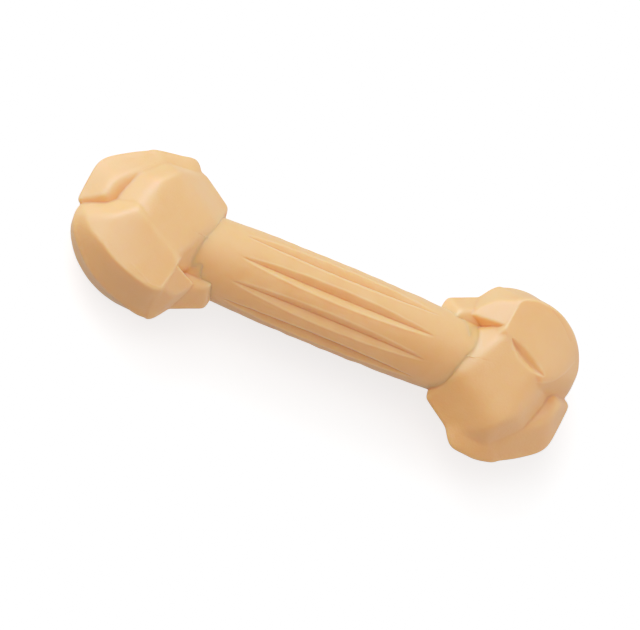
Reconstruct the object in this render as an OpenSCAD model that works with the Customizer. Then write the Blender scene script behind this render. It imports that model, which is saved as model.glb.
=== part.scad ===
// Moulded rubber chew bone: a fluted grip whose keyed ends are moulded into two faceted heads.
// +X runs along the bone, +Y across it, +Z up; the bone lies on its two flat feet at Z = 0.

/* [Bone] */
// Distance between the centres of the two heads
head_pitch = 135; // [120:1:150]

/* [Left head] */
// Length of the left head along the bone
left_l = 58.4; // [54:0.2:66]
// Width of the left head across the bone, over its outer half
left_w = 60; // [56:0.5:68]

/* [Right head] */
// Length of the right head along the bone
right_l = 56; // [54:0.5:66]
// Width of the right head across the bone, over its outer half
right_w = 63.5; // [56:0.5:68]

/* [Both heads] */
// Width of a head at its shoulders, beside the grip
shoulder_w = 61.5; // [56:0.5:68]
// Thickness of a head before its feet are cut
head_h = 38; // [36:0.5:44]
// Softness of the edges between the facets of the raised blocks
block_soft = 0.9; // [0.5:0.1:1.5]
// Softness of the edges of the recessed lobe
lobe_soft = 1.3; // [0.6:0.1:2]
// Softness of the crown's corners, seen from above
corner_soft = 1.2; // [0.8:0.1:2]
// Softness of the creases where two blocks meet
crease_soft = 0.4; // [0.2:0.1:0.8]
// Rounding along the parting plane
seam_r = 2; // [1:0.1:3]
// Depth of the flat foot on the underside of each head
foot_cut = 0.7; // [0.5:0.1:1]

/* [Grip] */
// Diameter of the grip at mid-length
grip_mid_d = 30.7; // [30:0.1:32]
// Diameter of the grip at the heads
grip_neck_d = 29; // [28:0.1:30]
// Distance between the two necks, where the neck diameter is measured
neck_span = 80; // [72:1:90]
// Number of flutes round the grip
flutes = 10; // [6:1:12]
// Length of a flute
flute_l = 77; // [50:1:78]
// Depth of a flute at mid-length
flute_depth = 1.9; // [1.2:0.1:2.4]
// Angle between the two walls of a flute
flute_angle = 96; // [70:1:110]

/* [Keyed ends] */
// How far short of each head's centre the round grip stops
collar_gap = 5; // [3:0.5:8]
// Diameter of the key that runs on into the head
key_d = 18; // [14:0.5:20]
// Length of the key
key_l = 18; // [14:0.5:20]
// Width of the ring groove round the key
groove_w = 5; // [3:0.5:6]
// Depth of the ring groove
groove_depth = 2.5; // [1.5:0.1:3]

/* [Hidden] */

// Height of the bone's axis above the surface it lies on
axis_z = head_h / 2 - foot_cut;
// Reach of a cut past the skin that it opens
overrun = head_h;

// Head mesh: steps round the outline, rings from the centre to the outline, halvings to find it
round_steps = 100;
ring_steps = 18;
halvings = 22;

// A block is a list of facets, on the side of a head that faces up. A facet is
// [the way it faces, the steepness of its normal, and a point on it]; angles are in degrees, and
// the point's x grows outwards from the bone's middle. Points are counted in parts: a head's
// shoulders are 61.5 parts wide and it is 38 parts thick.
width_parts = 61.5;
thickness_parts = 38;
// Parts along each head, and across its outer half
left_parts = [58.4, 62.7];
right_parts = [56, 60.9];

// Raised crown: the panel and the wall over the lobe
crown_shares = [
    [95, 86, 2, 8, 18.95],         // panel
    [18, 70, 10.5, 12, 18.4],      // panel, falling towards the end
    [4, 43, 22.8, 13.6, 12],       // panel, rolling over the end
    [-45, 60, 16.6, 0.6, 17.6],    // panel, towards the notch
    [168, 16, -7.4, 12, 18],       // side towards the heel
    [-122, 40, 2, 5.2, 18.9]       // step down to the saddle
];
notch_facet_shares = [-38, 33, 18.3, -2.5, 11];
// Outer wall of each crown: [the way it faces, its steepness, and a point on the outline]
left_wall_shares = [
    [-50, 24, 28.9, 0.4],
    [-10, 12, 29.6, 5],
    [18, 12, 27.4, 13.5],
    [42, 12, 19.9, 20.6],
    [64, 13, 13.2, 25.4],
    [84, 16, 0, 30.4],
    [120, 24, -7.8, 30]
];
right_wall_shares = [
    [-50, 24, 28, 0.6],
    [-10, 12, 28.5, 6],
    [20, 12, 27.1, 15.8],
    [44, 13, 20.6, 23.6],
    [66, 14, 11.6, 28.9],
    [88, 18, 0, 30.9],
    [120, 24, -7.4, 30.4]
];
// Heel: the slope from the crown down to the spur, beside the grip
heel_shares = [
    [166, 50, -7.2, 12.5, 18],
    [162, 14, -16.6, 21, 4],
    [142, 14, -13.6, 24.4, 0],
    [120, 24, -7.6, 30.4, 0],
    [-112, 15, -6.5, 11.9, 16.5],  // wall of the pocket
    [20, 45, -2, 17.8, 17],
    [75, 14, 0, 28, 0]
];
// Saddle: the central facet, the shoulder on the grip and the walls round them. The flank, the
// shoulder's corner and the spur's end have values of their own on each head.
saddle_shares = [
    [-132, 80, 1.4, 4.9, 18.4],    // central facet
    [-125, 60, -3.5, -13, 15.4],   // its border with the flank
    [-92, 24, 2, -27.4, 0],
    [-58, 30, 9.7, -24.9, 0],
    [168, 30, -9.9, 5.4, 17.1],    // shoulder
    [180, 68, -14, -8.6, 15.1],    // shoulder, lower down
    [-26, 42, 8.6, -12, 16.3],     // wall over the lobe
    [-8, 35, 24.3, -1.8, 0],
    [58, 40, 2, 5.8, 18.4],
    [128, 14, -7.9, 12.2, 17.4]    // shoulder's end, over the pocket
];
left_flank_shares = [[-125, 42, -7.5, -16.5, 12.2], [-178, 20, -21.6, -13, 6]];
right_flank_shares = [[-125, 37, -7.5, -16.5, 12], [-178, 20, -19.4, -13, 6]];
// Recessed lobe at the end
lobe_shares = [
    [-9, 30, 28.5, -7.5, 0],
    [-36, 40, 27.8, -16.4, 0],
    [-60, 42, 15.2, -25.7, 0],
    [-82, 40, 2.9, -30.5, 0],
    [-50, 80, 13.8, -9.8, 10.5],   // top
    [62, 30, 19.6, 4.9, 0],
    [150, 55, 8, -9, 9.6],
    [-165, 55, 8.8, -19, 9]
];
// Toe: the low bulge between the lobe and the neck
toe_shares = [
    [-82, 40, 2.9, -30.2, 0],
    [-125, 38, -7.9, -31.2, 0],
    [-155, 40, -10.5, -26.6, 0],
    [-100, 62, 0, -24, 5],         // top
    [-20, 45, 8, -26, 3],
    [60, 30, 0, -10, 0]
];
// Spur: the low step beyond the heel, along the grip
spur_shares = [
    [112, 32, -19.9, 21.2, 0],
    [100, 80, -20.2, 13.8, 9.1],   // top
    [-80, 60, -17, 12.6, 8],       // edge along the grip
    [50, 30, -1.5, 23, 0],
    [-90, 30, -14.6, -7.7, 0]
];
left_spur_end_shares = [165, 25, -27.4, 15.4, 0];
right_spur_end_shares = [165, 25, -26.2, 15.4, 0];

// A head is [lengths of a part along it, across it and through it, its width, the parts across
// its outer half, crown wall, flank, spur's end]
function head_of(l, w, parts, wall, flank, spur_end) =
    [[l / parts[0], shoulder_w / width_parts, head_h / thickness_parts], w, parts[1],
     wall, flank, spur_end];
left = head_of(left_l, left_w, left_parts, left_wall_shares, left_flank_shares,
               left_spur_end_shares);
right = head_of(right_l, right_w, right_parts, right_wall_shares, right_flank_shares,
                right_spur_end_shares);

// How far a point lies behind a facet or a wall, against the way it faces
function behind(f, p, part) =
    (f[2] * part[0] - p[0]) * cos(f[0]) + (f[3] * part[1] - p[1]) * sin(f[0]);

// Height of one facet's plane over a point
function facet_z(f, p, part) = f[4] * part[2] + behind(f, p, part) / tan(f[1]);

// Lowest and highest of a few heights, with the edges between them softened
function sum(v, i = 0) = i < len(v) ? v[i] + sum(v, i + 1) : 0;
function soft_min(v, soft) =
    let (low = min(v)) low - soft * ln(sum([for (z = v) exp((low - z) / soft)]));
function soft_max(v, soft) =
    let (high = max(v)) high + soft * ln(sum([for (z = v) exp((z - high) / soft)]));
function block_z(block, p, part, soft) =
    soft_min([for (f = block) facet_z(f, p, part)], soft);

// The crown's outer wall: its corners are rounded as seen from above, by softening the
// distances behind its sides, and its steepness changes gently from side to side
function wall_z(wall, p, part) =
    let (d = [for (f = wall) behind(f, p, part)], low = min(d),
         weights = [for (v = d) exp((low - v) / corner_soft)], total = sum(weights),
         slope = sum([for (i = [0:len(wall) - 1]) weights[i] * tan(wall[i][1])]) / total)
    (low - corner_soft * ln(total)) / slope;

// A head's height is the highest of its blocks, with the creases softened
function head_z(p, head) =
    let (part = head[0],
         crown = soft_min([block_z(crown_shares, p, part, block_soft),
                           wall_z(head[3], p, part),
                           facet_z(notch_facet_shares, p, part)], block_soft))
    soft_max([crown, block_z(heel_shares, p, part, block_soft),
              block_z(concat(saddle_shares, head[4]), p, part, block_soft),
              block_z(concat(spur_shares, [head[5]]), p, part, block_soft),
              block_z(toe_shares, p, part, block_soft),
              block_z(lobe_shares, p, part, lobe_soft)], crease_soft);

// Outline radius at the angle a: the height falls to zero there, found by halving
function rim_r(a, head, low, high, n = 0) =
    n == halvings ? low :
    let (mid = (low + high) / 2)
    head_z([mid * cos(a), mid * sin(a)], head) > 0
        ? rim_r(a, head, mid, high, n + 1)
        : rim_r(a, head, low, mid, n + 1);

// The surface leaves the parting plane upright, and meets the facets a seam radius higher up
function rounded_z(z) = sqrt(z * (z + 2 * seam_r)) - seam_r * (1 - exp(-z / seam_r));

// The width changes from the shoulders' to the outer half's over a short stretch, given in parts
flare_start_share = -10.4;
flare_end_share = 4.1;
function flare(x, head) =
    let (run = (x / head[0][0] - flare_start_share) / (flare_end_share - flare_start_share),
         t = min(max(run, 0), 1))
    1 + (head[1] / (head[2] * head[0][1]) - 1) * t * t * (3 - 2 * t);

function ring_points(rims, ring, head) =
    let (share = sin(90 * ring / ring_steps))
    [for (i = [0:round_steps - 1])
        let (a = 360 * i / round_steps, p = share * rims[i] * [cos(a), sin(a)],
             z = ring == ring_steps ? 0 : rounded_z(max(head_z(p, head), 0)))
        [p[0], p[1] * flare(p[0], head), z]];

function flipped(points) = [for (p = points) [p[0], p[1], -p[2]]];

// Triangles of the band from one ring to the next one outwards, seen from outside
function band(inner, outer, up) = [for (i = [0:round_steps - 1])
    let (j = (i + 1) % round_steps, a = inner + i, b = inner + j, c = outer + j, d = outer + i)
    each (up ? [[a, b, c], [a, c, d]] : [[a, c, b], [a, d, c]])];

function fan(centre, ring, up) = [for (i = [0:round_steps - 1])
    let (j = (i + 1) % round_steps)
    up ? [centre, ring + j, ring + i] : [centre, ring + i, ring + j]];

// Whole faceted form of a head, its centre at the origin and its outer end towards +X
module head_form(head) {
    rims = [for (i = [0:round_steps - 1]) rim_r(360 * i / round_steps, head, 0, head_pitch / 2)];
    tops = [for (ring = [1:ring_steps - 1]) ring_points(rims, ring, head)];
    outline = ring_points(rims, ring_steps, head);
    half = (ring_steps - 1) * round_steps;
    crest = [[0, 0, rounded_z(head_z([0, 0], head))]];
    points = concat(crest, flipped(crest), [for (r = tops) each r],
                    [for (r = tops) each flipped(r)], outline);
    top = 2;
    under = top + half;
    edge = under + half;
    faces = concat(
        fan(0, top, true), fan(1, under, false),
        [for (k = [0:ring_steps - 3]) each band(top + k * round_steps, top + (k + 1) * round_steps, false)],
        [for (k = [0:ring_steps - 3]) each band(under + k * round_steps, under + (k + 1) * round_steps, true)],
        band(edge - half - round_steps, edge, false),
        band(edge - round_steps, edge, true));
    polyhedron(points, faces);
}

// Radius of the barrelled grip at a distance from mid-length
function grip_r(x) = (grip_mid_d - (grip_mid_d - grip_neck_d) * pow(2 * x / neck_span, 2)) / 2;

// Grip and keys in one revolved profile, with no flutes
module grip_blank() {
    barrel_steps = 12;
    collar = head_pitch / 2 - collar_gap;
    groove_x = collar + (key_l - groove_w) / 2;
    side = [[collar, key_d / 2], [groove_x, key_d / 2], [groove_x, key_d / 2 - groove_depth],
            [groove_x + groove_w, key_d / 2 - groove_depth], [groove_x + groove_w, key_d / 2],
            [collar + key_l, key_d / 2]];
    barrel = [for (i = [0:barrel_steps]) let (x = collar * (2 * i / barrel_steps - 1)) [x, grip_r(x)]];
    left_side = [for (i = [len(side) - 1:-1:0]) [-side[i][0], side[i][1]]];
    outline = concat([[-collar - key_l, 0]], left_side, barrel, side, [[collar + key_l, 0]]);
    rotate([0, 90, 0]) rotate_extrude($fn = 128)
        polygon([for (p = outline) [p[1], p[0]]]);
}

// One flute: the rim of a wide V-edged wheel whose edge enters and leaves the grip
module flute_wheel() {
    rise = flute_depth - (grip_mid_d / 2 - grip_r(flute_l / 2));
    wheel_r = (pow(flute_l / 2, 2) + rise * rise) / (2 * rise);
    v_h = 3 * flute_depth;
    v_w = v_h * tan(flute_angle / 2);
    translate([0, 0, grip_mid_d / 2 - flute_depth + wheel_r])
        rotate([90, 0, 0]) rotate_extrude($fn = 256)
            polygon([[wheel_r - v_h, -v_w], [wheel_r, 0], [wheel_r - v_h, v_w]]);
}

module grip() {
    color("burlywood") translate([0, 0, axis_z]) difference() {
        grip_blank();
        for (i = [0:flutes - 1]) rotate([i * 360 / flutes, 0, 0]) flute_wheel();
    }
}

// A head in place: turned outwards, hollowed for the grip and cut flat underneath
module head(head, turn) {
    reach = head_pitch / 2;
    color("burlywood") difference() {
        translate([0, 0, axis_z]) difference() {
            rotate([0, 0, turn]) translate([head_pitch / 2, 0, 0]) head_form(head);
            grip_blank();
        }
        rotate([0, 0, turn]) translate([head_pitch / 2 - reach, -reach, -overrun])
            cube([2 * reach, 2 * reach, overrun]);
    }
}

module left_head() { head(left, 180); }
module right_head() { head(right, 0); }

grip();
left_head();
right_head();
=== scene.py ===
import bpy
import numpy as np
from mathutils import Matrix, Vector


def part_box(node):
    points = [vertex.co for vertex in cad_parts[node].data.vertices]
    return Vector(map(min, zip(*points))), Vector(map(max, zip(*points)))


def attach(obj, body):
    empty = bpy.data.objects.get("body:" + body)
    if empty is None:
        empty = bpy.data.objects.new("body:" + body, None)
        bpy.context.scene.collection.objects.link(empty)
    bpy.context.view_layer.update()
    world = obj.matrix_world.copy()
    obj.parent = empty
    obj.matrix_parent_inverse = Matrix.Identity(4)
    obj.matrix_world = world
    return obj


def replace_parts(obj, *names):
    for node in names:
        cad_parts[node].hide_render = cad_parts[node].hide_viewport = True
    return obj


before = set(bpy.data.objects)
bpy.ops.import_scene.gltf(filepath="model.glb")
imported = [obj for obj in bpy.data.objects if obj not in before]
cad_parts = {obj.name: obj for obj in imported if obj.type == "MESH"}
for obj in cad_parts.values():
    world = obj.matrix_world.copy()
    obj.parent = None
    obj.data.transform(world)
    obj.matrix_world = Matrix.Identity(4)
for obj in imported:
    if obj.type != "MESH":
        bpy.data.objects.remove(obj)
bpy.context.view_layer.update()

print("stage: frame loaded, nodes", sorted(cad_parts))

# All shapes are worked out in millimetres, with the bone's axis at height zero, and put down in metres.
mm = 0.001
gripLow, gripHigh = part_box("grip")
axisHeight = (gripLow.z + gripHigh.z) / 2 / mm
bodyName = "root"


# Basic sums

def softMin(heights, soft):
    # lowest of the rows, less a soft edge: low - soft * log(sum of exp((low - height) / soft))
    low = heights.min(axis=0)
    return low - soft * np.log(np.exp((low - heights) / soft).sum(axis=0))


def softMax(heights, soft):
    # highest of the rows, plus a soft crease: high + soft * log(sum of exp((height - high) / soft))
    high = heights.max(axis=0)
    return high + soft * np.log(np.exp((heights - high) / soft).sum(axis=0))


def ease(share):
    # smooth step from 0 to 1: t * t * (3 - 2 t), with t held between 0 and 1
    t = np.clip(share, 0, 1)
    return t * t * (3 - 2 * t)


def waves(points, wave):
    # unevenness of a moulded skin, one value per point: a height times the sum of plane waves
    # in random ways, over the root of half their count
    draw = np.random.default_rng(wave["seed"])
    ways = draw.normal(size=(wave["count"], 3))
    ways /= np.linalg.norm(ways, axis=1)[:, None]
    lengths = draw.uniform(*wave["lengths"], wave["count"])
    starts = draw.uniform(0, 2 * np.pi, wave["count"])
    total = np.zeros(points.shape[:-1])
    for way, length, start in zip(ways, lengths, starts):
        total += np.sin(points @ way * (2 * np.pi / length) + start)
    return wave["height"] * total / np.sqrt(wave["count"] / 2)


def closedFaces(rows, columns, flip):
    # quads between the rows of a grid that closes on itself along its columns, and a fan from
    # each end row to a point of its own, which follow the grid's points
    k, i = np.meshgrid(np.arange(rows - 1), np.arange(columns), indexing="ij")
    j = (i + 1) % columns
    corners = [k * columns + i, (k + 1) * columns + i, (k + 1) * columns + j, k * columns + j]
    quads = np.stack(corners, axis=2).reshape(-1, 4)
    i, j = i[0], j[0]
    last = (rows - 1) * columns
    startFan = np.stack([np.full(columns, rows * columns), i, j], axis=1)
    endFan = np.stack([np.full(columns, rows * columns + 1), last + j, last + i], axis=1)
    order = -1 if flip else 1
    return [face for part in (quads, startFan, endFan) for face in part[:, ::order].tolist()]


def gridNormals(grid):
    # crossed steps between the neighbours along and round the grid, which closes on itself round
    along = np.gradient(grid, axis=0)
    around = np.roll(grid, -1, axis=1) - np.roll(grid, 1, axis=1)
    normal = np.cross(along, around)
    return normal / np.maximum(np.linalg.norm(normal, axis=2, keepdims=True), 1e-9)


def gridBend(grid, normal):
    # bend of a surface, over 1 on sharp edges and below -1 in creases: how far the middle
    # of two neighbours lies behind the point, over the square of their distance, in both ways
    step = 2             # grid steps to the neighbours
    least = 0.3          # mm, the least distance counted
    total = 0
    padded = np.concatenate([grid[:1]] * step + [grid] + [grid[-1:]] * step)
    for before, after in ((np.roll(grid, step, 1), np.roll(grid, -step, 1)),
                          (padded[:-2 * step], padded[2 * step:])):
        behind = ((grid - (before + after) / 2) * normal).sum(axis=2)
        square = (((after - before) / 2) ** 2).sum(axis=2)
        total = total + 2 * behind / np.maximum(square, least ** 2)
    return total


def newPiece(name, points, faces, material, bend):
    # points in mm become a closed smooth mesh in metres, with its object at the origin
    mesh = bpy.data.meshes.new(name)
    mesh.from_pydata((points * mm).tolist(), [], faces)
    mesh.shade_smooth()
    # edgeShade holds the bend plus the lines' painted shade; the rubber turns it into rub wear and
    # painted highlight on edges, and painted shade in creases
    layer = mesh.attributes.new("edgeShade", "FLOAT", "POINT")
    layer.data.foreach_set("value", bend.astype(np.float32))
    mesh.materials.append(material)
    mesh.update()
    piece = bpy.data.objects.new(name, mesh)
    bpy.context.scene.collection.objects.link(piece)
    return piece


# Heads

# A facet is [the way it faces, the steepness of its normal, and a point on it], in degrees and in mm
# from the middle of the head. x grows outwards from the bone's middle, and heights count from the
# parting plane. A block is the lowest of its facets, and the head the highest of its blocks.
headForm = {
    "pitch": 135,            # between the middles of the two heads
    "blockSoft": 0.9,        # edges between facets
    "lobeSoft": 1.3,         # edges between the lobe's facets
    "cornerSoft": 1.2,       # corners of the crown's wall, seen from above
    "creaseSoft": 0.4,       # where two blocks meet
    "seamRadius": 2,         # rounding along the parting plane
    "flareFrom": -10.4,      # the outer half changes its width over this stretch
    "flareTo": 4.1,
    "crown": [
        [95, 86, 2, 8, 18.95],         # panel
        [18, 70, 10.5, 12, 18.4],      # panel, falling towards the end
        [4, 43, 22.8, 13.6, 12],       # panel, rolling over the end
        [-45, 60, 16.6, 0.6, 17.6],    # panel, towards the notch
        [168, 16, -7.4, 12, 18],       # side towards the heel
        [-122, 40, 2, 5.2, 18.9],      # step down to the saddle
    ],
    "notch": [-38, 33, 18.3, -2.5, 11],
    "heel": [
        [166, 50, -7.2, 12.5, 18],
        [162, 14, -16.6, 21, 4],
        [142, 14, -13.6, 24.4, 0],
        [120, 24, -7.6, 30.4, 0],
        [-112, 15, -6.5, 11.9, 16.5],  # wall of the pocket
        [-13, 45, -6.4, 14, 18],       # behind the panel's edge
        [75, 14, 0, 28, 0],
    ],
    "saddle": [
        [-132, 80, 1.4, 4.9, 18.4],    # central facet
        [-125, 60, -3.5, -13, 15.4],   # its border with the flank
        [-92, 24, 2, -27.4, 0],
        [-58, 30, 9.7, -24.9, 0],
        [156, 38, -14, -4.3, 16.6],    # shoulder
        [172, 50, -16.5, -11.7, 14.6],    # shoulder, lower down
        [-26, 64, 7.4, -9.9, 17.1],    # strip before the lobe
        [-26, 35, 11.2, -11.2, 14.2],  # wall over the lobe
        [-8, 35, 24.3, -1.8, 0],
        [58, 40, 2, 5.8, 18.4],
        [128, 14, -7.9, 12.2, 17.4],   # shoulder's end, over the pocket
    ],
    "lobe": [
        [-9, 30, 28.5, -7.5, 0],
        [-36, 40, 27.8, -16.4, 0],
        [-60, 42, 15.2, -25.7, 0],
        [-82, 40, 2.9, -30.5, 0],
        [-50, 80, 13.8, -9.8, 11],     # top
        [62, 30, 19.6, 4.9, 0],
        [152, 62, 14.6, -13.5, 8.8],   # valley under the wall
        [-165, 55, 8.8, -19, 9],
    ],
    "toe": [
        [-82, 40, 2.9, -30.2, 0],
        [-125, 38, -7.9, -31.2, 0],
        [-155, 40, -10.5, -26.6, 0],
        [-100, 62, 0, -24, 5],         # top
        [-20, 45, 8, -26, 3],
        [60, 30, 0, -10, 0],
    ],
    "spur": [
        [112, 32, -19.9, 21.2, 0],
        [100, 80, -20.2, 13.8, 9.1],   # top
        [-80, 56, -17, 11.9, 9],       # lip along the grip
        [50, 30, -1.5, 23, 0],
        [-90, 30, -14.6, -7.7, 0],
    ],
    # fillet where the grip enters: the grip's round, a little sunk, between two sloping ends
    "collar": {"sink": 0.05, "soft": 0.5, "from": -23.5, "to": 8, "steepness": 25,
               "drop": 6,            # fall per mm beside the grip's round
               "seamSoft": 4},       # keeps the seam's share small where the collar is low
}
# the lines are traces of a mould's inserts, sunk or raised by their height; their shade paints them
# darker or paler, as painted groove shadow on the sunk ones and painted highlight on the raised ones
rightHead = {
    "turn": 1,
    "flare": 0.0427,         # growth of the outer half's width
    "wall": [[-50, 24, 28, 0.6], [-10, 12, 28.5, 6], [20, 12, 27.1, 15.8], [44, 13, 20.6, 23.6],
             [66, 14, 11.6, 28.9], [88, 18, 0, 30.9], [120, 24, -7.4, 30.4]],
    "flank": [[-125, 37, -7.5, -16.5, 12], [-178, 20, -19.4, -13, 6]],
    "spurEnd": [165, 25, -26.2, 15.4, 0],
    "leafDepth": 1.4,
    "lines": [
        {"path": [[-7.4, 11.6], [-6.6, 15.2], [-4.9, 22.6], [-2.8, 24.8], [-1.5, 25.0]],
         "width": 0.32, "height": -0.12, "shade": -0.6},
        {"path": [[4.1, 24.9], [8.0, 23.4], [14.0, 20.1], [18.0, 16.4]],
         "width": 0.32, "height": -0.12, "shade": -0.6},
        {"path": [[22.5, 10.8], [19.6, 5.2], [16.4, 1.1], [12.9, -1.3], [9.8, -2.2]],
         "width": 0.30, "height": 0.12, "shade": 0.8},
    ],
}
leftHead = {
    "turn": -1,
    "flare": -0.0431,
    "wall": [[-50, 24, 28.9, 0.4], [-10, 12, 29.6, 5], [18, 12, 27.4, 13.5], [42, 12, 19.9, 20.6],
             [64, 13, 13.2, 25.4], [84, 16, 0, 30.4], [120, 24, -7.8, 30]],
    "flank": [[-125, 42, -7.5, -16.5, 12.2], [-178, 20, -21.6, -13, 6]],
    "spurEnd": [165, 25, -27.4, 15.4, 0],
    "leafDepth": 0,
    "lines": [
        {"path": [[8.6, 19.3], [4.4, 21.3], [0.3, 23.6], [-1.6, 23.5], [-3.8, 22.8]],
         "width": 0.30, "height": 0.08, "shade": 0.4},
        {"path": [[-4.4, 21.9], [-6.0, 17.4], [-7.5, 13.1]],
         "width": 0.30, "height": 0.12, "shade": 0.8},
    ],
}
# hollow beside the panel, and dimple in the pocket
leaf = {"from": [-3.7, 8.9], "to": [11.9, 0.8], "bow": 0.9, "halfWidth": 1.3, "tipWidth": 0.15,
        "fullness": 0.75}
pocket = {"centre": [-9.9, 11.8], "turn": -8, "lengths": [2.6, 2.2], "halfWidth": 1.4, "depth": 2.3}
headMesh = {
    "around": 392,
    "frontRings": 166,
    "backRings": 72,
    "halvings": 24,
    "lineSteps": 40,
    "lineRounding": 12,      # times that a line's corners are evened out
    "skin": {"height": 0.035, "lengths": (6, 24), "count": 24, "seed": 11},
}


def facetHeight(facet, x, y):
    # height of one facet's plane: its point's height, less the way from that point over the
    # tangent of the steepness
    facing, steepness = np.radians(facet[:2])
    along = (x - facet[2]) * np.cos(facing) + (y - facet[3]) * np.sin(facing)
    return facet[4] - along / np.tan(steepness)


def blockHeight(facets, x, y, soft):
    # lowest of a block's facets, with soft edges between them
    return softMin(np.stack([facetHeight(facet, x, y) for facet in facets]), soft)


def wallHeight(sides, x, y):
    # distance behind the rounded outline, over the tangent of the mean steepness of the nearest sides
    soft = headForm["cornerSoft"]
    facing, steepness, sideX, sideY = (np.array(v).reshape(-1, *[1] * x.ndim) for v in zip(*sides))
    facing, steepness = np.radians(facing), np.radians(steepness)
    behind = (sideX - x) * np.cos(facing) + (sideY - y) * np.sin(facing)
    low = behind.min(axis=0)
    weights = np.exp((low - behind) / soft)
    total = weights.sum(axis=0)
    return (low - soft * np.log(total)) * total / (weights * np.tan(steepness)).sum(axis=0)


def leafCut(x, y, depth):
    # lens-shaped hollow: depth * hump along the line * bell across it, bowed towards the saddle
    start, end = np.array(leaf["from"]), np.array(leaf["to"])
    length = np.linalg.norm(end - start)
    way = (end - start) / length
    share = np.clip(((x - start[0]) * way[0] + (y - start[1]) * way[1]) / length, 0, 1)
    across = (x - start[0]) * way[1] - (y - start[1]) * way[0]
    hump = (4 * share * (1 - share)) ** leaf["fullness"]
    width = leaf["halfWidth"] * hump + leaf["tipWidth"]
    return depth * hump * np.exp(-((across - leaf["bow"] * hump) / width) ** 2)


def pocketCut(x, y):
    # dimple beside the heel: a bell, longer towards the grip
    turn = np.radians(pocket["turn"])
    dx, dy = x - pocket["centre"][0], y - pocket["centre"][1]
    u, v = dx * np.cos(turn) + dy * np.sin(turn), dy * np.cos(turn) - dx * np.sin(turn)
    length = np.where(u < 0, *pocket["lengths"])
    return pocket["depth"] * np.exp(-(u / length) ** 2 - (v / pocket["halfWidth"]) ** 2)


def collarHeight(x, y):
    # root of (radius squared less y squared), less a steep drop beside it, and the lower of that
    # and a sloping end
    collar = headForm["collar"]
    radius = gripRadius(headForm["pitch"] / 2 + x) - collar["sink"]
    height = np.sqrt(np.maximum(radius ** 2 - y ** 2, 0))
    height = height - collar["drop"] * np.maximum(np.abs(y) - radius, 0)
    # makes up for the seam's rounding
    height = height + headForm["seamRadius"] ** 2 / (2 * np.maximum(height, 0) + collar["seamSoft"])
    end = np.minimum(x - collar["from"], collar["to"] - x) / np.tan(np.radians(collar["steepness"]))
    return np.minimum(height - pocketCut(x, y), end)


def headHeight(x, y, head):
    # the highest of the blocks, and of the collar, each the lowest of its facets
    form, soft = headForm, headForm["blockSoft"]
    crown = np.stack([blockHeight(form["crown"], x, y, soft), wallHeight(head["wall"], x, y),
                      facetHeight(form["notch"], x, y)])
    top = softMax(np.stack([
        softMin(crown, soft) - leafCut(x, y, head["leafDepth"]),
        blockHeight(form["heel"], x, y, soft),
        blockHeight(form["saddle"] + head["flank"], x, y, soft) - leafCut(x, y, head["leafDepth"]),
        blockHeight(form["spur"] + [head["spurEnd"]], x, y, soft) - pocketCut(x, y),
        blockHeight(form["toe"], x, y, soft),
        blockHeight(form["lobe"], x, y, form["lobeSoft"]),
    ]), form["creaseSoft"])
    return softMax(np.stack([top, collarHeight(x, y)]), form["collar"]["soft"])


def rimRadii(angles, head):
    # the outline's radius at each angle, where the height falls to zero, found by halving
    low, high = np.zeros_like(angles), np.full_like(angles, headForm["pitch"] / 2)
    for _ in range(headMesh["halvings"]):
        mid = (low + high) / 2
        inside = headHeight(mid * np.cos(angles), mid * np.sin(angles), head) > 0
        low, high = np.where(inside, mid, low), np.where(inside, high, mid)
    return low


def headPoint(x, y, head):
    # a point of the face: upright where it leaves the parting plane, and wider or narrower further out
    height = np.maximum(headHeight(x, y, head), 0)
    radius = headForm["seamRadius"]
    z = np.sqrt(height * (height + 2 * radius)) - radius * (1 - np.exp(-height / radius))
    reach = ease((x - headForm["flareFrom"]) / (headForm["flareTo"] - headForm["flareFrom"]))
    return np.stack([x + headForm["pitch"] / 2, y * (1 + head["flare"] * reach), z], axis=-1)


def lineBell(grid, path, head, width):
    # bell over the distance to a rounded path on the face: 1 on the line, fading to 0 within its width
    knots = np.array(path, dtype=float)
    run = np.concatenate([[0], np.cumsum(np.linalg.norm(np.diff(knots, axis=0), axis=1))])
    share = np.linspace(0, run[-1], headMesh["lineSteps"])
    line = np.stack([np.interp(share, run, knots[:, c]) for c in range(2)], axis=1)
    for _ in range(headMesh["lineRounding"]):
        line[1:-1] = (line[:-2] + 2 * line[1:-1] + line[2:]) / 4
    line = headPoint(line[:, 0], line[:, 1], head)
    near = np.full(grid.shape[:2], np.inf)
    for start, end in zip(line[:-1], line[1:]):
        way = end - start
        t = np.clip(((grid - start) @ way) / (way @ way), 0, 1)
        near = np.minimum(near, np.linalg.norm(grid - start - t[:, :, None] * way, axis=2))
    return np.exp(-(near / width) ** 2)


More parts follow.
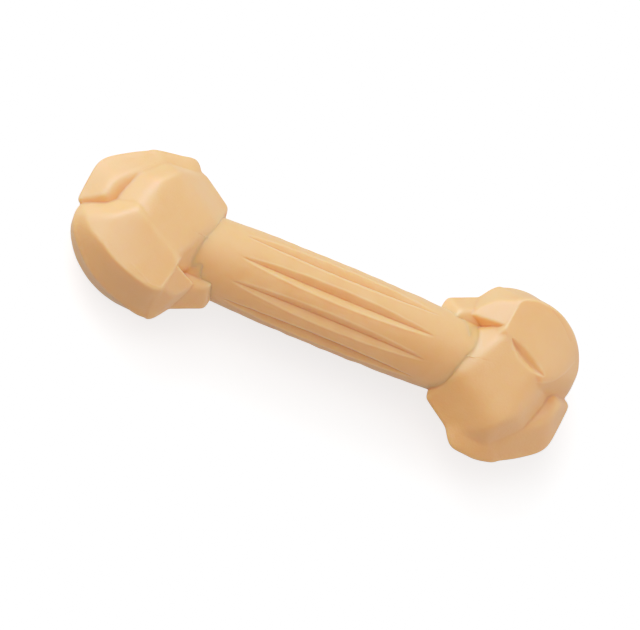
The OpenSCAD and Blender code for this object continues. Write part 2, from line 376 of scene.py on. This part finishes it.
def makeHead(name, head, material):
    # rings of the outline shrunk by the sine of an even run, for the face, the same rings mirrored
    # through the parting plane for the back, and a point in the middle of each
    count = headMesh["around"]
    angles = np.linspace(0, 2 * np.pi, count, endpoint=False)
    rims = rimRadii(angles, head)
    front = np.sin(np.linspace(0, np.pi / 2, headMesh["frontRings"] + 1))[1:, None]
    back = np.sin(np.linspace(0, np.pi / 2, headMesh["backRings"] + 1))[1:-1, None]
    across, up = rims * np.cos(angles), rims * np.sin(angles)
    sides = [headPoint(share * across, share * up, head) for share in (front, back)]
    sides[0][-1, :, 2] = 0       # the last ring is the outline, in the parting plane
    grid = np.concatenate([sides[0], sides[1][::-1] * [1, 1, -1]])
    normal = gridNormals(grid)
    bend = gridBend(grid, normal)
    rise = waves(grid, headMesh["skin"])
    # each line also adds its shade to the bend, so the rubber paints it darker as groove shadow or
    # paler as highlight
    for line in head["lines"]:
        bell = lineBell(grid, line["path"], head, line["width"])
        rise = rise + line["height"] * bell
        bend = bend + line["shade"] * bell
    grid = grid + normal * rise[:, :, None]
    crest = headPoint(np.zeros(1), np.zeros(1), head)
    points = np.concatenate([grid.reshape(-1, 3), crest, crest * [1, 1, -1]])
    points = points * [head["turn"], head["turn"], 1] + [0, 0, axisHeight]
    points[:, 2] = np.maximum(points[:, 2], 0)      # flat foot
    bend = np.concatenate([bend.ravel(), np.zeros(2)])
    piece = newPiece(name, points, closedFaces(len(grid), count, False), material, bend)
    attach(piece, bodyName)
    return piece


# Grip

grip = {
    "midRadius": 15.35,
    "neckRadius": 14.5,
    "neckAt": 40,             # from mid-length
    "reach": 62.5,            # closed ends, inside the heads
    "flutes": 10,
    "fluteHalfLength": 38.5,
    "fluteDepth": 1.9,
    "wallSlope": 0.80,        # fall of a flute's wall per mm across
    "fluteFade": 0.3,         # a flute fades out where it is less deep than this
    "rimSoft": 0.28,          # rounding of a flute's rims
    "rimOut": 0.5,            # a raised bead runs this far outside each rim
    "beadHeight": 0.16,
    "beadWidth": 0.5,
    "beadFade": 0.8,
    "rimWaveWidth": 1.1,
    "rimWave": {"height": 0.07, "lengths": (4, 11), "count": 16, "seed": 23},
    "skin": {"height": 0.035, "lengths": (5, 30), "count": 24, "seed": 12},
    "around": 560,
    "along": 170,
}


def gripRadius(x):
    # barrel: the middle radius less a square law that reaches the neck radius
    return grip["midRadius"] - (grip["midRadius"] - grip["neckRadius"]) * (x / grip["neckAt"]) ** 2


def makeGrip(name, material):
    # radius over (distance along, angle round), less the flutes' soft V cuts, plus beads on their rims
    x = np.linspace(-grip["reach"], grip["reach"], grip["along"])[:, None]
    turn = np.linspace(0, 2 * np.pi, grip["around"], endpoint=False)[None, :]
    step = 2 * np.pi / grip["flutes"]
    base = gripRadius(x)
    across = np.abs(((turn - np.pi / 2 + step / 2) % step - step / 2) * base)
    depth = grip["fluteDepth"] * np.clip(1 - (x / grip["fluteHalfLength"]) ** 2, 0, 1)
    fall = (depth - across * grip["wallSlope"]) / grip["rimSoft"]
    cut = grip["rimSoft"] * np.logaddexp(0, fall) * ease(depth / grip["fluteFade"])
    fromRim = across - depth / grip["wallSlope"] - grip["rimOut"]
    shown = ease(depth / grip["beadFade"])
    bead = grip["beadHeight"] * np.exp(-(fromRim / grip["beadWidth"]) ** 2) * shown
    radius = base - cut + bead
    grid = np.stack([x + 0 * turn, radius * np.cos(turn), radius * np.sin(turn)], axis=2)
    normal = -gridNormals(grid)
    bend = gridBend(grid, normal)
    # uneven skin, and rims that aren't quite straight
    rise = waves(grid, grip["skin"])
    rise = rise + np.exp(-(fromRim / grip["rimWaveWidth"]) ** 2) * shown * waves(grid, grip["rimWave"])
    grid = grid + normal * rise[:, :, None]
    ends = np.array([[-grip["reach"], 0, 0], [grip["reach"], 0, 0]])
    points = np.concatenate([grid.reshape(-1, 3), ends]) + [0, 0, axisHeight]
    bend = np.concatenate([bend.ravel(), np.zeros(2)])
    piece = newPiece(name, points, closedFaces(grip["along"], grip["around"], True), material, bend)
    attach(piece, bodyName)
    return piece


# Rubber

rubber = {
    "color": (0.83, 0.358, 0.1),
    "paleColor": (0.90, 0.43, 0.165),     # cloudier patches
    "edgeColor": (0.93, 0.50, 0.235),     # rubbed edges and rims, with painted highlight
    "creaseColor": (0.70, 0.245, 0.062),  # painted shade in corners and creases, where light gets out only through the rubber
    "radius": (0.8, 0.45, 0.16),          # spread of red, green and blue light, in depths
    "depth": 0.0055,
    "specular": 0.9,
    "sheen": 0.16,
    "sheenRoughness": 0.5,
    "rubRoughness": 0.15,                 # what a fine rub adds to the roughness
    "rubDepth": 0.4,                      # and takes off the grain's height
}
# sizes in mm; patches, edge (rub wear and painted highlight) and crease (painted shade) say how
# strongly each shows
headRubber = {"patchSize": 17, "patches": 0.5, "edge": 0.42, "crease": 0.5, "roughness": (0.36, 0.52),
              "grainSize": 0.75, "grainDepth": 0.00005, "scratchTurn": (0.3, 0.2, 0.6)}
gripRubber = {"patchSize": 13, "patches": 0.55, "edge": 0.38, "crease": 0.55, "roughness": (0.34, 0.5),
              "grainSize": 0.65, "grainDepth": 0.00004, "scratchTurn": (0.1, 0, 1.5)}
# what the shared effects are made of
effect = {
    "noiseSpan": (0.32, 0.68),                # where a noise's values mostly lie
    "mottling": {"smallSize": 0.3, "smallShare": 0.4, "detail": (3, 4), "swirl": (0.6, 0.3)},
    "grain": {"cellSize": 0.45, "cellShare": 0.45, "cellSoft": 0.6, "detail": 3},
    "scratches": {"scale": (60, 2200, 2200), "peaks": (0.62, 0.74), "patchSize": 14,
                  "detail": 2},
    "edgeBend": (0.12, 0.9),                  # bend where the wear and painted highlight start, and where they are full
    # bend where the painted crease shade starts, and where it is full
    "creaseBend": (-0.12, -1.0),
}


def newGroup(name, inputs, outputs):
    # an empty shader group, its inputs and its outputs; each socket is a name and a kind
    tree = bpy.data.node_groups.new(name, "ShaderNodeTree")
    for way, sockets in (("INPUT", inputs), ("OUTPUT", outputs)):
        for socket, kind in sockets.items():
            tree.interface.new_socket(socket, in_out=way, socket_type="NodeSocket" + kind)
    return tree, tree.nodes.new("NodeGroupInput").outputs, tree.nodes.new("NodeGroupOutput").inputs


def addNode(tree, kind, settings=None, **sockets):
    # a node with its settings; sockets by name, with _ for a space, or i and a number,
    # are linked to another socket or set to a value
    node = tree.nodes.new(kind)
    for key, value in (settings or {}).items():
        setattr(node, key, value)
    for key, value in sockets.items():
        numbered = key[1:].isdigit()
        socket = node.inputs[int(key[1:]) if numbered else key.replace("_", " ")]
        if isinstance(value, bpy.types.NodeSocket):
            tree.links.new(value, socket)
        else:
            socket.default_value = value
    return node


def addMath(tree, operation, *values):
    # one sum over sockets or numbers, in the order that the operation takes them
    sockets = {"i" + str(place): value for place, value in enumerate(values)}
    return addNode(tree, "ShaderNodeMath", {"operation": operation}, **sockets).outputs[0]


def addRange(tree, value, low, high, result=(0, 1)):
    # straight from the first result at low to the second at high, and held beyond both
    return addNode(tree, "ShaderNodeMapRange", None, Value=value, From_Min=low, From_Max=high,
                   To_Min=result[0], To_Max=result[1]).outputs["Result"]


def addMix(tree, share, first, second):
    # (1 - share) * first + share * second, for numbers
    mix = addNode(tree, "ShaderNodeMix", None, Factor=share, i2=first, i3=second)
    return mix.outputs[0]


def addColorMix(tree, share, first, second):
    # (1 - share) * first + share * second, for colours
    mix = addNode(tree, "ShaderNodeMix", {"data_type": "RGBA"}, Factor=share, i6=first, i7=second)
    return mix.outputs[2]


def addGroup(tree, group, **sockets):
    # a shared effect placed in a material, and what it puts out
    return addNode(tree, "ShaderNodeGroup", {"node_tree": group}, **sockets).outputs[0]


def noise(tree, vector, size, detail, distortion=0):
    # noise with patches of about the given size in mm, spread out to 0 to 1
    texture = addNode(tree, "ShaderNodeTexNoise", None, Vector=vector, Detail=detail,
                      Distortion=distortion, Scale=addMath(tree, "DIVIDE", 1 / mm, size))
    return addRange(tree, texture.outputs["Fac"], *effect["noiseSpan"])


def makeMottling():
    # cloudy patches: large noise mixed with a smaller one
    tree, given, out = newGroup("mottling", {"Vector": "Vector", "Size": "Float"}, {"Value": "Float"})
    values = effect["mottling"]
    sizes = given["Size"], addMath(tree, "MULTIPLY", given["Size"], values["smallSize"])
    large, small = (noise(tree, given["Vector"], size, detail, swirl)
                    for size, detail, swirl in zip(sizes, values["detail"], values["swirl"]))
    tree.links.new(addMix(tree, values["smallShare"], large, small), out["Value"])
    return tree


def makeGrain():
    # skin of a blasted mould: fine noise mixed with shallow pits in rounded cells
    tree, given, out = newGroup("mouldGrain", {"Vector": "Vector", "Size": "Float"}, {"Value": "Float"})
    values = effect["grain"]
    grains = noise(tree, given["Vector"], given["Size"], values["detail"])
    scale = addMath(tree, "DIVIDE", values["cellSize"] / mm, given["Size"])
    cells = addNode(tree, "ShaderNodeTexVoronoi", {"feature": "SMOOTH_F1"}, Vector=given["Vector"],
                    Scale=scale, Smoothness=values["cellSoft"])
    mix = addMix(tree, values["cellShare"], grains, cells.outputs["Distance"])
    tree.links.new(mix, out["Value"])
    return tree


def makeScratches():
    # fine rubs: the peaks of a noise stretched one way, times larger patches that break them up
    tree, given, out = newGroup("fineScratches", {"Vector": "Vector", "Turn": "Vector"},
                                {"Value": "Float"})
    values = effect["scratches"]
    turned = addNode(tree, "ShaderNodeMapping", {"vector_type": "POINT"}, Vector=given["Vector"],
                     Rotation=given["Turn"], Scale=values["scale"])
    lines = addNode(tree, "ShaderNodeTexNoise", None, Vector=turned.outputs["Vector"],
                    Scale=1, Detail=values["detail"])
    peaks = addRange(tree, lines.outputs["Fac"], *values["peaks"])
    patches = noise(tree, given["Vector"], values["patchSize"], values["detail"])
    tree.links.new(addMath(tree, "MULTIPLY", peaks, patches), out["Value"])
    return tree


def makeEdgeWear():
    # paler on sharp edges, as rub wear and painted highlight, and deeper in creases, as painted shade,
    # by how far the surface bends there
    tree, given, out = newGroup("edgeWearAndPaintedShade", {
        "Color": "Color", "Bend": "Float", "Edge Color": "Color", "Crease Color": "Color",
        "Edge": "Float", "Crease": "Float"}, {"Color": "Color"})
    color = given["Color"]
    for place, bends in (("Edge", effect["edgeBend"]), ("Crease", effect["creaseBend"])):
        amount = addMath(tree, "MULTIPLY", addRange(tree, given["Bend"], *bends), given[place])
        color = addColorMix(tree, amount, color, given[place + " Color"])
    tree.links.new(color, out["Color"])
    return tree


def makeRubber(name, values, groups):
    # colour: the rubber's, towards the pale one by the patches, then the edge wear, painted highlight
    # on edges and painted shade in creases over it;
    # roughness: between its two ends by the patches, plus a share of the rubs;
    # bump: the grain's height less a share of the rubs
    material = bpy.data.materials.new(name)
    material.use_nodes = True
    tree = material.node_tree
    place = addNode(tree, "ShaderNodeTexCoord").outputs["Object"]
    bend = addNode(tree, "ShaderNodeAttribute", {"attribute_name": "edgeShade"}).outputs["Fac"]
    patches = addGroup(tree, groups["mottling"], Vector=place, Size=values["patchSize"])
    grain = addGroup(tree, groups["grain"], Vector=place, Size=values["grainSize"])
    rubs = addGroup(tree, groups["scratches"], Vector=place, Turn=values["scratchTurn"])
    color = addColorMix(tree, addMath(tree, "MULTIPLY", patches, values["patches"]),
                        (*rubber["color"], 1), (*rubber["paleColor"], 1))
    color = addGroup(tree, groups["edgeWearAndPaintedShade"], Color=color, Bend=bend,
                     Edge=values["edge"], Edge_Color=(*rubber["edgeColor"], 1),
                     Crease=values["crease"], Crease_Color=(*rubber["creaseColor"], 1))
    rough = addRange(tree, patches, 0, 1, values["roughness"])
    rough = addMath(tree, "MULTIPLY_ADD", rubs, rubber["rubRoughness"], rough)
    height = addMath(tree, "MULTIPLY_ADD", rubs, -rubber["rubDepth"], grain)
    bump = addNode(tree, "ShaderNodeBump", None, Height=height, Distance=values["grainDepth"])
    shader = tree.nodes["Principled BSDF"]
    tree.links.new(color, shader.inputs["Base Color"])
    tree.links.new(rough, shader.inputs["Roughness"])
    tree.links.new(bump.outputs["Normal"], shader.inputs["Normal"])
    for socket, value in (("Subsurface Weight", 1), ("Subsurface Radius", rubber["radius"]),
                          ("Subsurface Scale", rubber["depth"]),
                          ("Specular IOR Level", rubber["specular"]),
                          ("Sheen Weight", rubber["sheen"]),
                          ("Sheen Roughness", rubber["sheenRoughness"])):
        shader.inputs[socket].default_value = value
    return material


# Camera, floor and light

view = {
    # two of the camera's axes in the bone's frame, from its slant in the picture
    "toCamera": (-0.2756, -0.2650, 0.9240),
    "imageRight": (0.8887, 0.2962, 0.3501),
    "distance": 7.0,
    "imageWidth": 640,
    "imageHeight": 630,
    "mmPerPixel": 0.35,
    "centrePixel": (324.1, 303.0),     # where the bone's centre lies in the picture
    "sensor": 36,
    "clipEnd": 50,
}
light = {
    # ways in the picture: right, up, towards the camera; sizes and distances in metres
    "softboxes": {
        "topLight": {"from": (0, 1.0, 0.35), "size": 1.4, "distance": 1.8, "power": 12.7},
        "frontLight": {"from": (0, 0.4, 1.0), "size": 1.4, "distance": 1.8, "power": 6.8},
        "leftLight": {"from": (-0.8, 0.8, 0.3), "size": 1.4, "distance": 1.8, "power": 10},
    },
    "evenSky": 0.11,
    # a soft glow round each way, and its strength
    "skyLobes": [[(0, 1, 0), 0.2], [(-0.7, 0.7, 0.2), 0.5], [(1, 0, 0), 0.65], [(0, -1, 0), 0.28]],
    "floorColor": (0.95, 0.95, 0.95),
    "floorRoughness": 0.9,
    "floorGlow": 0.5,
    "floorReach": 6,
    # soft shoulder of the picture, light in against brightness out: 1 - exp(-2.5 * light), and
    # then up to white
    "curve": [(0, 0), (0.1, 0.221), (0.2, 0.393), (0.3, 0.528), (0.4, 0.632), (0.5, 0.713),
              (0.6, 0.777), (0.7, 0.826), (0.8, 0.87), (1, 1)],
}


def viewAxes():
    # the camera's three axes, made square to each other from two rounded ones
    toCamera = Vector(view["toCamera"]).normalized()
    up = toCamera.cross(Vector(view["imageRight"])).normalized()
    return up.cross(toCamera), up, toCamera


def makeCamera():
    # lens: sensor times distance, over the picture's width; aim: the bone's centre, moved by how
    # far it lies from the picture's middle
    right, up, toCamera = viewAxes()
    px, py = view["centrePixel"]
    step = view["mmPerPixel"] * mm
    aim = Vector((0, 0, axisHeight * mm))
    aim -= right * (px - view["imageWidth"] / 2) * step
    aim -= up * (view["imageHeight"] / 2 - py) * step
    data = bpy.data.cameras.new("camera")
    data.sensor_width = view["sensor"]
    data.lens = view["sensor"] * view["distance"] / (view["imageWidth"] * step)
    data.clip_end = view["clipEnd"]
    camera = bpy.data.objects.new("camera", data)
    turn = Matrix((right, up, toCamera)).transposed().to_4x4()
    camera.matrix_world = Matrix.Translation(aim + toCamera * view["distance"]) @ turn
    bpy.context.scene.collection.objects.link(camera)
    bpy.context.scene.camera = camera


def makeStage():
    # a flat square that glows a little, at height zero
    reach = light["floorReach"]
    corners = [(-reach, -reach, 0), (reach, -reach, 0), (reach, reach, 0), (-reach, reach, 0)]
    mesh = bpy.data.meshes.new("floor")
    mesh.from_pydata(corners, [], [(0, 1, 2, 3)])
    floor = bpy.data.objects.new("floor", mesh)
    bpy.context.scene.collection.objects.link(floor)
    material = bpy.data.materials.new("floorPaint")
    material.use_nodes = True
    shader = material.node_tree.nodes["Principled BSDF"]
    shader.inputs["Base Color"].default_value = (*light["floorColor"], 1)
    shader.inputs["Roughness"].default_value = light["floorRoughness"]
    shader.inputs["Emission Color"].default_value = (1, 1, 1, 1)
    shader.inputs["Emission Strength"].default_value = light["floorGlow"]
    mesh.materials.append(material)
    floor.visible_diffuse = False       # the sky alone lights the bone from below
    floor.visible_glossy = False


def makeSky():
    # an even glow, plus for each lobe its strength times the square of the cosine to its way
    world = bpy.data.worlds.new("studio")
    bpy.context.scene.world = world
    world.use_nodes = True
    tree = world.node_tree
    direction = addNode(tree, "ShaderNodeTexCoord").outputs["Generated"]
    right, up, toCamera = viewAxes()
    total = light["evenSky"]
    for way, strength in light["skyLobes"]:
        way = (right * way[0] + up * way[1] + toCamera * way[2]).normalized()
        cosine = addNode(tree, "ShaderNodeVectorMath", {"operation": "DOT_PRODUCT"},
                         i0=direction, i1=way)
        facing = addMath(tree, "MAXIMUM", cosine.outputs["Value"], 0)
        total = addMath(tree, "MULTIPLY_ADD", addMath(tree, "POWER", facing, 2), strength, total)
    background = tree.nodes["Background"]
    background.inputs["Color"].default_value = (1, 1, 1, 1)
    tree.links.new(total, background.inputs["Strength"])


def makeLights():
    # each softbox stands its distance from the origin along its way, and faces back along it
    right, up, toCamera = viewAxes()
    for name, box in light["softboxes"].items():
        way = right * box["from"][0] + up * box["from"][1] + toCamera * box["from"][2]
        way.normalize()
        data = bpy.data.lights.new(name, "AREA")
        data.shape = "SQUARE"
        data.size = box["size"]
        data.energy = box["power"]
        lamp = bpy.data.objects.new(name, data)
        lamp.location = way * box["distance"]
        lamp.rotation_euler = way.to_track_quat("Z", "Y").to_euler()
        bpy.context.scene.collection.objects.link(lamp)


def makePicture():
    # the picture's soft shoulder: a curve over the scene's light, up to full white
    settings = bpy.context.scene.view_settings
    settings.view_transform = "Standard"
    settings.use_curve_mapping = True
    mapping = settings.curve_mapping
    mapping.clip_max_x = mapping.clip_max_y = light["curve"][-1][0]
    mapping.extend = "HORIZONTAL"
    curve = mapping.curves[3]       # all three colours together
    curve.points[0].location = light["curve"][0]
    curve.points[1].location = light["curve"][-1]
    for x, y in light["curve"][1:-1]:
        curve.points.new(x, y)
    mapping.update()


makePicture()
makeCamera()
makeStage()
makeSky()
makeLights()
print("stage: camera, floor and light")

groups = {"mottling": makeMottling(), "grain": makeGrain(), "scratches": makeScratches(),
          "edgeWearAndPaintedShade": makeEdgeWear()}
headSkin = makeRubber("headRubber", headRubber, groups)
gripSkin = makeRubber("gripRubber", gripRubber, groups)
print("stage: rubber")
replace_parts(makeHead("leftHead", leftHead, headSkin), "left_head")
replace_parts(makeHead("rightHead", rightHead, headSkin), "right_head")
print("stage: heads")
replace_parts(makeGrip("flutedGrip", gripSkin), "grip")
print("stage: grip")
